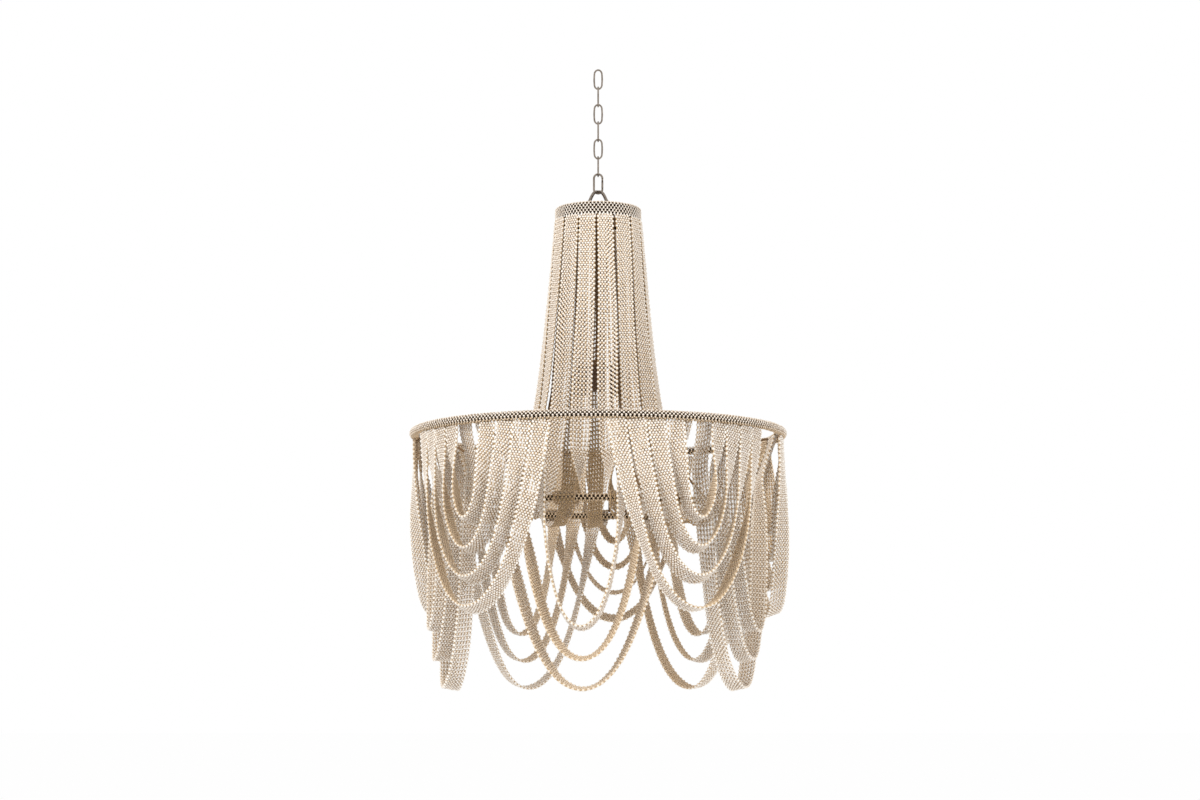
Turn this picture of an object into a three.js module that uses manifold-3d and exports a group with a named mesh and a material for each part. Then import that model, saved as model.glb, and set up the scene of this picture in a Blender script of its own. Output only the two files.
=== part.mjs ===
import Module from 'manifold-3d';
import * as THREE from 'three';
import { mergeVertices } from 'three/addons/utils/BufferGeometryUtils.js';

// Beaded chandelier on a short chain. Millimetres, +Z up, the front faces -Y.
// The origin is the inside of the top link's crown, where a ceiling hook carries it.

// Clearances
const seatGap = 0.3;
const hangClearance = 1;
const tierGap = 1;
const overrun = 2;

// Chain of welded oval links
const linkCount = 6;
const linkLength = 44;
const linkWidth = 20;
const linkWire = 3.5;

// Spring snap hook
const snapLength = 44.5;
const snapWidth = 21.5;
const snapWire = 4.2;
const gatePivotDrop = 10;
const gateEar = 1.5;
const pivotRelief = 2.8;
const noseLength = 1.5;
const tangThickness = 1.4;
const tangWidthShare = 0.8;
const rivetDiameter = 1.4;

// Crown of two crossed arches, welded to the drum hoop
const crownRise = 35;
const crownWire = 4;
const crownShoulder = 28;
const crownFlare = 26;
const hoopThickness = 3;
const hoopHeight = 14;
const barWidth = 16;
const barThickness = 3;

// Beaded band round the drum
const bandDiameter = 178;
const bandHeight = 28;
const bandLip = 5;
const bandLipHeight = 8;

// Beaded strap, the same everywhere
const strapWidth = 35;
const strapThickness = 6;

// Column of straps between the band and the inner ring
const columnStrapCount = 15;
const columnSeamAngle = THREE.MathUtils.degToRad(-2);
const columnTopOverlap = 10;
const columnWaistRadius = 112;
const columnWaistRise = 150;
const columnSagRadius = 130;
const columnSagDrop = 250;

// Wide ring and inner ring, both wrapped in beads
const ringDiameter = 762;
const ringTube = 19;
const ringDrop = 466;
const innerRingDiameter = 516;
const innerRingTube = 16;
const innerRingDrop = 146;

// Frame inside the column, and the struts that carry the wide ring
const groupCount = 5;
const ribWire = 5;
const ribStandOffShare = 0.25;
const ribWaistRadius = 96;
const ribWaistRise = 100;
const ribKneeRadius = 120;
const ribKneeDrop = 60;
const strutWire = 5;
const strutReachShare = 0.55;
const strutDropShare = 0.5;

// Swags: each group's angle is measured from the front towards +X
const lowerGroupAngle = THREE.MathUtils.degToRad(-5.5);
const outerCount = 4;
const outerFirstDrop = 192;
const lowerCount = 3;
const lowerFirstDrop = 396;
const swagStep = 56;
const outerInset = 9.5;
const lowerInset = 28;
const lowerTopRise = 3;
const settleDepth = 110;
// Where on its way down a strap starts and stops turning, and which part of a quarter turn it makes
const outerTwistShares = [0.03, 0.8, 0.75];
const lowerTwistShares = [0.05, 0.65, 1];
// How the free arc between the straps of one group is shared out, and how far in each swag reaches
const outerCentreShare = 0.33;
const outerStepShares = [0, 0.018, 0.018, 0.018];
const outerInsetShares = [0, 0.3, 0.6, 1];
const lowerCentreShare = 0.668;
const lowerStepShares = [0, 0.07, 0.078];
const lowerInsetShares = [0, 0.43, 1];

// Lamp stem, cluster and holders
const stemDiameter = 10;
const stemBore = 7;
const stemLength = 322;
const stemTopRise = 8;
const flangeDiameter = 18;
const flangeThickness = 3;
const nutWidth = 17;
const nutHeight = 6;
const glandDiameter = 14;
const glandBore = 6;
const glandHeight = 7;
const clusterDiameter = 32;
const clusterHeight = 22;
const clusterFoot = 6;
const clusterArmWire = 6;
const holderCount = 3;
const holderCircle = 84;
const holderCapDiameter = 18;
const holderCapHeight = 12;
const holderDiameter = 28;
const holderHeight = 50;
const holderBore = 16;
const holderDepth = 28;

// Facets
const wireSides = 8;
const thinSides = 6;
const linkBendSteps = 6;
const snapBendSteps = 8;
const archSteps = 12;
const ringSides = 8;
const wideRingSegments = 72;
const ringSegments = 60;
const bandSegments = 48;
const smallSegments = 16;
const columnSteps = 12;
const strutSteps = 6;
const swagSteps = 16;
const swagBunching = 2.2;
const solveSteps = 60;
const solveReach = 40;

const material = (name, color, roughness, metalness) =>
  new THREE.MeshStandardMaterial({ name, color, roughness, metalness });
const nickel = material('brushed_nickel', 0x9c9287, 0.38, 1);
const bronze = material('dark_bronze', 0x4a3b2c, 0.5, 0.6);
const beads = material('cream_beads', 0xe0d3bf, 0.55, 0);
const bakelite = material('brown_plastic', 0x594534, 0.6, 0);

const wasm = await Module();
wasm.setup();

// Geometry with shared vertices and its faces turned outwards.
function outward(source) {
  const bare = source.clone();
  bare.deleteAttribute('normal');
  bare.deleteAttribute('uv');
  const geometry = mergeVertices(bare);
  const place = geometry.getAttribute('position');
  const index = geometry.index.array;
  const [a, b, c] = [new THREE.Vector3(), new THREE.Vector3(), new THREE.Vector3()];
  const kept = [];
  let volume = 0;
  for (let i = 0; i < index.length; i += 3) {
    if (index[i] === index[i + 1] || index[i + 1] === index[i + 2] || index[i + 2] === index[i]) continue;
    a.fromBufferAttribute(place, index[i]);
    b.fromBufferAttribute(place, index[i + 1]);
    c.fromBufferAttribute(place, index[i + 2]);
    volume += a.dot(b.cross(c));
    kept.push(index[i], index[i + 1], index[i + 2]);
  }
  geometry.setIndex(volume < 0 ? kept.reverse() : kept);
  return geometry;
}

function solid(source) {
  const geometry = outward(source);
  const vertProperties = new Float32Array(geometry.getAttribute('position').array);
  const triVerts = new Uint32Array(geometry.index.array);
  return new wasm.Manifold(new wasm.Mesh({ numProp: 3, vertProperties, triVerts }));
}

function fromSolid(manifold) {
  const mesh = manifold.getMesh();
  const geometry = new THREE.BufferGeometry();
  geometry.setAttribute('position', new THREE.BufferAttribute(mesh.vertProperties, mesh.numProp));
  geometry.setIndex(new THREE.BufferAttribute(mesh.triVerts, 1));
  return geometry;
}

const join = (sources) => sources.map(solid).reduce((sum, one) => sum.add(one));
const cut = (manifold, sources) => sources.map(solid).reduce((rest, one) => rest.subtract(one), manifold);

// Joins rings of points into one closed body: a loop, or a run with flat ends.
function skin(rings, loop) {
  const sides = rings[0].length;
  const spans = loop ? rings.length : rings.length - 1;
  const index = [];
  for (let i = 0; i < spans; i += 1) {
    const here = i * sides;
    const there = ((i + 1) % rings.length) * sides;
    for (let k = 0; k < sides; k += 1) {
      const next = (k + 1) % sides;
      index.push(here + k, there + k, there + next, here + k, there + next, here + next);
    }
  }
  if (!loop) {
    const last = (rings.length - 1) * sides;
    for (let k = 1; k < sides - 1; k += 1) {
      index.push(0, k, k + 1, last, last + k + 1, last + k);
    }
  }
  const geometry = new THREE.BufferGeometry().setFromPoints(rings.flat());
  geometry.setIndex(index);
  return outward(geometry);
}

// The direction of travel at each point of a path.
function headings(points, loop) {
  const last = points.length - 1;
  return points.map((point, i) => {
    const before = points[i > 0 ? i - 1 : (loop ? last : 0)];
    const after = points[i < last ? i + 1 : (loop ? 0 : last)];
    return after.clone().sub(before).normalize();
  });
}

// A round wire along a path that stays in one plane.
function wire(points, diameter, sides, planeNormal, loop = false) {
  const travel = headings(points, loop);
  const rings = points.map((point, i) => {
    const across = travel[i].clone().cross(planeNormal).normalize();
    return Array.from({ length: sides }, (_, k) => {
      const angle = ((k + 0.5) / sides) * 2 * Math.PI;
      return point.clone()
        .addScaledVector(across, Math.cos(angle) * diameter / 2)
        .addScaledVector(planeNormal, Math.sin(angle) * diameter / 2);
    });
  });
  return skin(rings, loop);
}

// A closed profile of [radius, height] pairs turned about the Z axis.
function turned(profile, segments) {
  const points = profile.map(([radius, height]) => new THREE.Vector2(radius, height));
  return outward(new THREE.LatheGeometry(points, segments).rotateX(Math.PI / 2));
}

// A ring whose tube is a polygon with a flat underside and flat sides.
function hoop(diameter, tube, sides, segments) {
  const reach = tube / 2 / Math.cos(Math.PI / sides);
  const profile = Array.from({ length: sides + 1 }, (_, k) => {
    const angle = (((k % sides) + 0.5) / sides) * 2 * Math.PI;
    return [(diameter - tube) / 2 + reach * Math.cos(angle), reach * Math.sin(angle)];
  });
  return turned(profile, segments);
}

// The horizontal direction at an angle from the front, and a place at a radius along it.
const outwards = (angle) => new THREE.Vector3(Math.sin(angle), -Math.cos(angle), 0);
const sideways = (angle) => new THREE.Vector3(Math.cos(angle), Math.sin(angle), 0);
const placeAt = (radius, angle, height) => outwards(angle).multiplyScalar(radius).setZ(height);
const upright = (radius, height) => new THREE.Vector2(radius, height);

const chandelier = new THREE.Group();
chandelier.name = 'beaded_chandelier';

function add(name, geometry, finish, height = 0, angle = 0) {
  const mesh = new THREE.Mesh(geometry, finish);
  mesh.name = name;
  mesh.position.z = height;
  mesh.rotation.z = angle;
  chandelier.add(mesh);
  return mesh;
}

// Part of a stadium shape in the XZ plane, with the inside of its top bend at the origin.
// It runs from the right side over the top, down the left side and round the bottom.
function stadium(length, width, wireSize, bendSteps) {
  const bend = (width - wireSize) / 2;
  const inside = width / 2 - wireSize;
  const low = -(length - 2 * wireSize - inside);
  const arc = (middle, from) => Array.from({ length: bendSteps + 1 }, (_, i) => {
    const angle = from + (i / bendSteps) * Math.PI;
    return new THREE.Vector3(bend * Math.cos(angle), 0, middle + bend * Math.sin(angle));
  });
  return { points: [...arc(-inside, 0), ...arc(low, Math.PI)], bend, inside, low };
}

const yAxis = new THREE.Vector3(0, 1, 0);

// Chain: each link hangs in the one above and is turned a quarter against it
const linkPitch = linkLength - 2 * linkWire - seatGap;
function addChain() {
  const { points } = stadium(linkLength, linkWidth, linkWire, linkBendSteps);
  for (let i = 0; i < linkCount; i += 1) {
    const geometry = wire(points, linkWire, wireSides, yAxis, true);
    add(`chain_link_${i + 1}`, geometry, nickel, -i * linkPitch, i % 2 ? Math.PI / 2 : 0);
  }
}

// Snap hook: a bent wire with a tang, a slotted gate that opens inwards, and the rivet between them
const snapHeight = -linkCount * linkPitch;
const snapTurn = linkCount % 2 ? Math.PI / 2 : 0;
const snapInside = snapHeight - snapLength + 2 * snapWire;
function addSnapHook() {
  const { points, bend, low } = stadium(snapLength, snapWidth, snapWire, snapBendSteps);
  const start = new THREE.Vector3(bend, 0, -gatePivotDrop + pivotRelief);
  const across = (diameter, length) => new THREE.CylinderGeometry(diameter / 2, diameter / 2, length, smallSegments)
    .translate(bend, 0, -gatePivotDrop);
  const hole = across(rivetDiameter + 2 * seatGap, snapWire + 2 * overrun);
  const tangRise = pivotRelief + overrun / 2;
  const tang = new THREE.BoxGeometry(snapWire * tangWidthShare, tangThickness, tangRise)
    .translate(bend, 0, tangRise / 2 - gatePivotDrop);
  const nose = new THREE.Vector3(bend, 0, low + noseLength);
  const bentWire = wire([start, ...points, nose], snapWire, wireSides, yAxis);
  const body = cut(join([bentWire, tang, across(snapWire, tangThickness)]), [hole]);
  add('snap_hook_body', fromSolid(body), nickel, snapHeight, snapTurn);

  const gateTop = -gatePivotDrop + gateEar;
  const gateLength = gateTop - nose.z - seatGap;
  const rod = new THREE.CylinderGeometry(snapWire / 2, snapWire / 2, gateLength, wireSides * 2)
    .rotateX(Math.PI / 2)
    .translate(bend, 0, gateTop - gateLength / 2);
  const slotDepth = gateEar + snapWire / 2 + seatGap + overrun;
  const slot = new THREE.BoxGeometry(2 * snapWire, tangThickness + 2 * seatGap, slotDepth)
    .translate(bend, 0, gateTop + overrun - slotDepth / 2);
  add('snap_hook_gate', fromSolid(cut(solid(rod), [slot, hole])), nickel, snapHeight, snapTurn);
  add('snap_hook_rivet', outward(across(rivetDiameter, snapWire)), nickel, snapHeight, snapTurn);
}

// Heights of the body, worked down from the bottom bend of the snap hook
const crownUnderside = snapInside + seatGap;
const bandTop = crownUnderside - crownRise;
const ringHeight = bandTop - ringDrop;
const innerRingHeight = ringHeight - innerRingDrop;
const ringRadius = (ringDiameter - ringTube) / 2;
const innerRingRadius = (innerRingDiameter - innerRingTube) / 2;
const bandInside = bandDiameter / 2 - strapThickness;
const hoopRadius = bandInside - seatGap;
const hoopTop = bandTop - bandLipHeight - seatGap;
const barTop = hoopTop - hoopHeight + barThickness;

// Pulls the end of a run back from a ring's tube, along the way it arrives.
function shyOf(middle, from, tube) {
  const back = from.clone().sub(middle).normalize();
  return middle.clone().addScaledVector(back, tube / 2 / Math.cos(Math.PI / ringSides) + seatGap);
}

const innerRingMiddle = upright(innerRingRadius, innerRingHeight);
const wideRingMiddle = upright(ringRadius, ringHeight);

function addFrame() {
  const apex = crownUnderside + crownWire / 2;
  const foot = hoopTop - hoopHeight / 2;
  const arm = new THREE.CubicBezierCurve(
    upright(0, apex),
    upright(crownShoulder, apex),
    upright(crownFlare, foot + crownWire),
    upright(hoopRadius - hoopThickness / 2, foot),
  ).getPoints(archSteps);
  const arch = (angle) => {
    const run = [...arm.slice(1).reverse().map((p) => placeAt(-p.x, angle, p.y)),
      ...arm.map((p) => placeAt(p.x, angle, p.y))];
    return wire(run, crownWire, thinSides, sideways(angle));
  };
  const ribEnd = upright(ribKneeRadius, ringHeight - ribKneeDrop);
  const rib = (angle) => {
    const curve = new THREE.CubicBezierCurve(
      upright(hoopRadius - hoopThickness - ribWire * ribStandOffShare, foot),
      upright(ribWaistRadius, ringHeight + ribWaistRise),
      ribEnd,
      shyOf(innerRingMiddle, ribEnd, innerRingTube),
    );
    const run = curve.getPoints(columnSteps).map((p) => placeAt(p.x, angle, p.y));
    return wire(run, ribWire, thinSides, sideways(angle));
  };
  const drumHoop = turned([
    [hoopRadius - hoopThickness, hoopTop - hoopHeight],
    [hoopRadius, hoopTop - hoopHeight],
    [hoopRadius, hoopTop],
    [hoopRadius - hoopThickness, hoopTop],
    [hoopRadius - hoopThickness, hoopTop - hoopHeight],
  ], bandSegments);
  const crossBar = new THREE.BoxGeometry(2 * hoopRadius - hoopThickness, barWidth, barThickness)
    .translate(0, 0, barTop - barThickness / 2);
  const stemHole = new THREE.CylinderGeometry(
    stemDiameter / 2 + seatGap,
    stemDiameter / 2 + seatGap,
    barThickness + 2 * overrun,
    smallSegments,
  ).rotateX(Math.PI / 2).translate(0, 0, barTop - barThickness / 2);
  const quarter = Math.PI / 4;
  const seam = (2 * Math.PI) / columnStrapCount;
  const ribs = Array.from({ length: groupCount }, (_, i) =>
    rib(columnSeamAngle + seam + (i / groupCount) * 2 * Math.PI));
  const frame = cut(join([arch(quarter), arch(-quarter), drumHoop, crossBar, ...ribs]), [stemHole]);
  add('crown_frame', fromSolid(frame), bronze);

  // Each strut leaves the wide ring level, between two lower groups, and bends down onto the inner ring
  const head = upright(ringRadius - ringTube / 2 / Math.cos(Math.PI / ringSides) - seatGap, ringHeight);
  const base = upright(innerRingRadius, innerRingHeight + innerRingTube / 2 + seatGap);
  const bend = new THREE.CubicBezierCurve(
    head,
    upright(head.x - (head.x - base.x) * strutReachShare, head.y),
    upright(base.x, base.y + (head.y - base.y) * strutDropShare),
    base,
  ).getPoints(strutSteps);
  for (let i = 0; i < groupCount; i += 1) {
    const angle = lowerGroupAngle + ((i + 0.5) / groupCount) * 2 * Math.PI;
    const run = bend.map((p) => placeAt(p.x, angle, p.y));
    add(`ring_strut_${i + 1}`, wire(run, strutWire, thinSides, sideways(angle)), bronze);
  }
}

// Band and column: straps hang flat from the band, draw in behind the wide ring and flare to the inner ring
function addColumn() {
  const strapRadius = (bandDiameter - strapThickness) / 2;
  const sag = upright(columnSagRadius, ringHeight - columnSagDrop);
  const curve = new THREE.CubicBezierCurve(
    upright(strapRadius, bandTop - bandHeight + columnTopOverlap),
    upright(columnWaistRadius, ringHeight + columnWaistRise),
    sag,
    shyOf(innerRingMiddle, sag, innerRingTube),
  );
  const points = curve.getPoints(columnSteps);
  const strap = (angle) => {
    const rings = points.map((p, i) => {
      const way = curve.getTangent(i / columnSteps);
      const face = placeAt(-way.y, angle, way.x);
      return strapCorners(placeAt(p.x, angle, p.y), sideways(angle), face);
    });
    return skin(rings, false);
  };
  const band = turned([
    [bandInside, bandTop - bandHeight],
    [bandDiameter / 2, bandTop - bandHeight],
    [bandDiameter / 2, bandTop - bandLipHeight / 2],
    [bandDiameter / 2 - bandLipHeight / 2, bandTop],
    [bandInside - bandLip, bandTop],
    [bandInside - bandLip, bandTop - bandLipHeight],
    [bandInside, bandTop - bandLipHeight],
    [bandInside, bandTop - bandHeight],
  ], bandSegments);
  const straps = Array.from({ length: columnStrapCount }, (_, i) =>
    strap(columnSeamAngle + ((i + 0.5) / columnStrapCount) * 2 * Math.PI));
  add('column_skirt', fromSolid(join([band, ...straps])), beads);
}

// The four corners of a strap's section.
function strapCorners(middle, across, face) {
  const corner = (side, front) => middle.clone()
    .addScaledVector(across, side * strapWidth / 2)
    .addScaledVector(face, front * strapThickness / 2);
  return [corner(1, 1), corner(-1, 1), corner(-1, -1), corner(1, -1)];
}

// The catenary that spans a half width with a drop: drop = c (cosh(half / c) - 1).
function catenary(half, drop) {
  let low = half / solveReach;
  let high = half * solveReach;
  for (let i = 0; i < solveSteps; i += 1) {
    const middle = (low + high) / 2;
    if (middle * (Math.cosh(half / middle) - 1) > drop) low = middle;
    else high = middle;
  }
  return (low + high) / 2;
}

const ease = (share) => {
  const held = Math.min(Math.max(share, 0), 1);
  return held * held * (3 - 2 * held);
};

// A strap that hangs in a U from the wide ring. It leaves the ring flat and turns slowly on its way
// down, so that at the bottom its width points at the axis, or nearly so.
function swag({ angle, halfAngle, topRadius, midRadius, lowRadius, top, bottom, twistShares }) {
  const [twistStart, twistEnd, twistPart] = twistShares;
  const half = halfAngle * topRadius;
  const drop = top - bottom;
  const c = catenary(half, drop);
  const halfLength = c * Math.sinh(half / c);
  const depths = [];
  const points = Array.from({ length: swagSteps + 1 }, (_, i) => {
    const u = (2 * i) / swagSteps - 1;
    const along = halfLength * Math.sinh(swagBunching * u) / Math.sinh(swagBunching);
    const depth = drop - (Math.hypot(c, along) - c);
    const radius = topRadius
      - (topRadius - midRadius) * ease(depth / settleDepth)
      - (midRadius - lowRadius) * ease((depth - settleDepth) / (drop - settleDepth));
    depths.push(depth);
    return placeAt(radius, angle + c * Math.asinh(along / c) / topRadius, top - depth);
  });
  const travel = headings(points, false);
  travel[0].set(0, 0, -1);
  travel[swagSteps].set(0, 0, 1);
  const rings = points.map((point, i) => {
    const out = point.clone().setZ(0).normalize();
    const flat = out.addScaledVector(travel[i], -out.dot(travel[i])).normalize();
    const edge = travel[i].clone().cross(flat);
    const turn = ease((depths[i] / drop - twistStart) / (twistEnd - twistStart));
    const twist = turn * twistPart * Math.PI / 2;
    const face = flat.multiplyScalar(Math.cos(twist)).addScaledVector(edge, Math.sin(twist));
    return strapCorners(point, travel[i].clone().cross(face), face);
  });
  return skin(rings, false);
}

// Arms of one group stand side by side on the ring: the middle gap, then a strap and a gap in turn.
function armAngle(level, count, radius, centreShare, stepShares) {
  const sector = (2 * Math.PI * radius) / groupCount;
  const free = sector - 2 * count * strapWidth;
  const steps = stepShares.slice(0, level + 1).reduce((sum, share) => sum + share, 0);
  return (free * (centreShare / 2 + steps) + strapWidth * (level + 0.5)) / radius;
}

const outerRadius = ringRadius;
const lowerTopRadius = ringRadius - ringTube / 2 - hangClearance - strapThickness / 2;
const lowerMidRadius = outerRadius - outerInset - strapWidth - tierGap;
const outerArmAngle = (level) =>
  armAngle(level, outerCount, outerRadius, outerCentreShare, outerStepShares);
const lowerArmAngle = (level) =>
  armAngle(level, lowerCount, lowerTopRadius, lowerCentreShare, lowerStepShares);

function addSwags() {
  const sector = (2 * Math.PI) / groupCount;
  for (let group = 0; group < groupCount; group += 1) {
    for (let level = 0; level < outerCount; level += 1) {
      const geometry = swag({
        angle: lowerGroupAngle + (group + 0.5) * sector,
        halfAngle: outerArmAngle(level),
        topRadius: outerRadius,
        midRadius: outerRadius,
        lowRadius: outerRadius - outerInset * outerInsetShares[level],
        top: ringHeight - ringTube / 2 - seatGap,
        bottom: ringHeight - outerFirstDrop - level * swagStep,
        twistShares: outerTwistShares,
      });
      add(`outer_swag_${group + 1}_${level + 1}`, geometry, beads);
    }
    for (let level = 0; level < lowerCount; level += 1) {
      const geometry = swag({
        angle: lowerGroupAngle + group * sector,
        halfAngle: lowerArmAngle(level),
        topRadius: lowerTopRadius,
        midRadius: lowerMidRadius,
        lowRadius: lowerMidRadius - lowerInset * lowerInsetShares[level],
        top: ringHeight + lowerTopRise,
        bottom: ringHeight - lowerFirstDrop - level * swagStep,
        twistShares: lowerTwistShares,
      });
      add(`lower_swag_${group + 1}_${level + 1}`, geometry, beads);
    }
  }
}

// Lamp stem through the cross bar, clamped by its flange and a nut, with a cluster of holders below
function addLamp() {
  const flangeBottom = barTop + seatGap;
  const stemTop = flangeBottom + flangeThickness + stemTopRise;
  const stemEnd = stemTop - stemLength;
  add('stem_tube', turned([
    [stemBore / 2, stemEnd],
    [stemDiameter / 2, stemEnd],
    [stemDiameter / 2, flangeBottom],
    [flangeDiameter / 2, flangeBottom],
    [flangeDiameter / 2, flangeBottom + flangeThickness],
    [stemDiameter / 2, flangeBottom + flangeThickness],
    [stemDiameter / 2, stemTop],
    [stemBore / 2, stemTop],
    [stemBore / 2, stemEnd],
  ], smallSegments), bronze);
  const nutReach = nutWidth / 2 / Math.cos(Math.PI / 6);
  const nutBlock = new THREE.CylinderGeometry(nutReach, nutReach, nutHeight, 6).rotateX(Math.PI / 2);
  const nutHole = new THREE.CylinderGeometry(
    stemDiameter / 2 + seatGap,
    stemDiameter / 2 + seatGap,
    nutHeight + 2 * overrun,
    smallSegments,
  ).rotateX(Math.PI / 2);
  const nutMiddle = barTop - barThickness - seatGap - nutHeight / 2;
  add('stem_nut', fromSolid(cut(solid(nutBlock), [nutHole])), bronze, nutMiddle);
  add('cord_gland', turned([
    [glandBore / 2, 0],
    [glandDiameter / 2, 0],
    [glandDiameter / 2, glandHeight / 2],
    [stemDiameter / 2, glandHeight],
    [glandBore / 2, glandHeight],
    [glandBore / 2, 0],
  ], smallSegments), bakelite, stemTop + seatGap);

  const clusterBottom = stemEnd - seatGap - clusterFoot;
  const body = turned([
    [0, 0],
    [clusterDiameter / 2 - clusterFoot, 0],
    [clusterDiameter / 2, clusterFoot],
    [clusterDiameter / 2, clusterHeight],
    [stemDiameter / 2 + seatGap, clusterHeight],
    [stemDiameter / 2 + seatGap, clusterFoot],
    [0, clusterFoot],
  ], smallSegments);
  const capMiddle = clusterHeight / 2;
  const turns = Array.from({ length: holderCount }, (_, i) => (i / holderCount) * 2 * Math.PI);
  const armStart = clusterDiameter / 2 - overrun;
  const arms = turns.map((angle) => wire(
    [placeAt(armStart, angle, capMiddle), placeAt(holderCircle / 2, angle, capMiddle)],
    clusterArmWire,
    wireSides,
    sideways(angle),
  ));
  const caps = turns.map((angle) => {
    const at = placeAt(holderCircle / 2, angle, capMiddle);
    return new THREE.CylinderGeometry(
      holderCapDiameter / 2,
      holderCapDiameter / 2,
      holderCapHeight,
      smallSegments,
    ).rotateX(Math.PI / 2).translate(at.x, at.y, at.z);
  });
  add('lamp_cluster', fromSolid(join([body, ...arms, ...caps])), bronze, clusterBottom);
  turns.forEach((angle, i) => {
    const holder = add(`lamp_holder_${i + 1}`, turned([
      [0, 0],
      [holderDiameter / 2, 0],
      [holderDiameter / 2, -holderHeight],
      [holderBore / 2, -holderHeight],
      [holderBore / 2, holderDepth - holderHeight],
      [0, holderDepth - holderHeight],
    ], smallSegments), bakelite);
    const top = clusterBottom + capMiddle - holderCapHeight / 2 - seatGap;
    holder.position.copy(placeAt(holderCircle / 2, angle, top));
  });
}

addChain();
addSnapHook();
addFrame();
addColumn();
add('wide_ring', hoop(ringDiameter, ringTube, ringSides, wideRingSegments), beads, ringHeight);
add('inner_ring', hoop(innerRingDiameter, innerRingTube, ringSides, ringSegments), beads, innerRingHeight);
addSwags();
addLamp();

export default chandelier;
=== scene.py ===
"""Looks of the beaded chandelier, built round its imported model. Metres, +Z up, the front faces -Y."""
import math

import bpy
import numpy as np
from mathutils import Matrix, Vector


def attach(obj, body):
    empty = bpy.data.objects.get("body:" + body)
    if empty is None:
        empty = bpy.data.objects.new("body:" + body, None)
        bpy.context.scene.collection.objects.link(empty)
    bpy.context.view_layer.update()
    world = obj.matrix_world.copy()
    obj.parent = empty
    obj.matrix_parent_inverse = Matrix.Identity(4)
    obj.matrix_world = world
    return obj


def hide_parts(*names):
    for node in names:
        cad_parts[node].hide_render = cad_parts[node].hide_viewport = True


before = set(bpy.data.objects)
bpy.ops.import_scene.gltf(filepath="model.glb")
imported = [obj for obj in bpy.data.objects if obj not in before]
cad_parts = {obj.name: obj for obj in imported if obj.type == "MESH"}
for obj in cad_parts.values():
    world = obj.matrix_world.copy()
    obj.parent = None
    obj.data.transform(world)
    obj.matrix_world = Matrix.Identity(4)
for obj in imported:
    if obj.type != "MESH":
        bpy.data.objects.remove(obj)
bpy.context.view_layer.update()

# Sizes, as in the part's source, but for the crown's arch, which is up to 5 mm narrower on each side
MM = 0.001
SEAT = 0.3 * MM
LINK_COUNT, LINK_LENGTH, LINK_WIDTH, LINK_WIRE = 6, 44 * MM, 20 * MM, 3.5 * MM
LINK_PITCH = LINK_LENGTH - 2 * LINK_WIRE - SEAT
SNAP_LENGTH, SNAP_WIDTH, SNAP_WIRE = 44.5 * MM, 21.5 * MM, 4.2 * MM
SNAP_TOP = -LINK_COUNT * LINK_PITCH
GATE_DROP, GATE_EAR, PIVOT_RELIEF, NOSE = 10 * MM, 1.5 * MM, 2.8 * MM, 1.5 * MM
TANG = 1.4 * MM
CROWN_UNDERSIDE = SNAP_TOP - SNAP_LENGTH + 2 * SNAP_WIRE + SEAT
CROWN_RISE, CROWN_WIRE, CROWN_SHOULDER, CROWN_FLARE = 35 * MM, 4 * MM, 31 * MM, 14 * MM
BAND_TOP = CROWN_UNDERSIDE - CROWN_RISE
BAND_RADIUS, BAND_HEIGHT, BAND_LIP, BAND_LIP_HEIGHT = 89 * MM, 28 * MM, 5 * MM, 8 * MM
STRAP_WIDTH, STRAP_THICKNESS = 35 * MM, 6 * MM
HOOP_RADIUS = BAND_RADIUS - STRAP_THICKNESS - SEAT
HOOP_THICKNESS, HOOP_HEIGHT, BAR_WIDTH, BAR_THICKNESS = 3 * MM, 14 * MM, 16 * MM, 3 * MM
HOOP_TOP = BAND_TOP - BAND_LIP_HEIGHT - SEAT
BAR_TOP = HOOP_TOP - HOOP_HEIGHT + BAR_THICKNESS
RING_Z = BAND_TOP - 466 * MM
RING_RADIUS, RING_TUBE = 371.5 * MM, 19 * MM
INNER_RING_Z = RING_Z - 146 * MM
INNER_RING_RADIUS, INNER_RING_TUBE = 250 * MM, 16 * MM
RING_FLAT = math.cos(math.pi / 8)
COLUMN_STRAPS, COLUMN_SEAM, COLUMN_TOP_OVERLAP = 15, math.radians(-2), 10 * MM
COLUMN_WAIST = (112 * MM, RING_Z + 150 * MM)
COLUMN_SAG = (130 * MM, RING_Z - 250 * MM)
FRAME_WIRE_RADIUS = 2.5 * MM
RIB_WAIST, RIB_KNEE = (96 * MM, RING_Z + 100 * MM), (120 * MM, RING_Z - 60 * MM)
RIB_WELD_DEPTH = 1.25 * MM
STRUT_REACH_SHARE, STRUT_DROP_SHARE = 0.55, 0.5
STEM_RADIUS, STEM_BORE, STEM_LENGTH, STEM_RISE = 5 * MM, 3.5 * MM, 322 * MM, 8 * MM
FLANGE_RADIUS, FLANGE_THICKNESS = 9 * MM, 3 * MM
FLANGE_Z = BAR_TOP + SEAT
FLANGE_TOP = FLANGE_Z + FLANGE_THICKNESS
STEM_TOP = FLANGE_TOP + STEM_RISE
STEM_END = STEM_TOP - STEM_LENGTH
NUT_HALF_WIDTH, NUT_HEIGHT, NUT_CHAMFER, NUT_CHAMFER_SHARE = 8.5 * MM, 6 * MM, 0.8 * MM, 0.92
GLAND_BORE, GLAND_RADIUS, GLAND_SHOULDER, GLAND_HEIGHT = 3 * MM, 7 * MM, 3.5 * MM, 7 * MM
POT_FOOT, POT_RADIUS, POT_HEIGHT, POT_MOUTH, POT_FLOOR = 10 * MM, 16 * MM, 22 * MM, 5.3 * MM, 6 * MM
CLUSTER_Z = STEM_END - SEAT - POT_FLOOR
ARM_HEIGHT, ARM_RADIUS, ARM_STATIONS = 11 * MM, 3 * MM, (14 * MM, 24 * MM, 34 * MM, 42 * MM)
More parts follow.
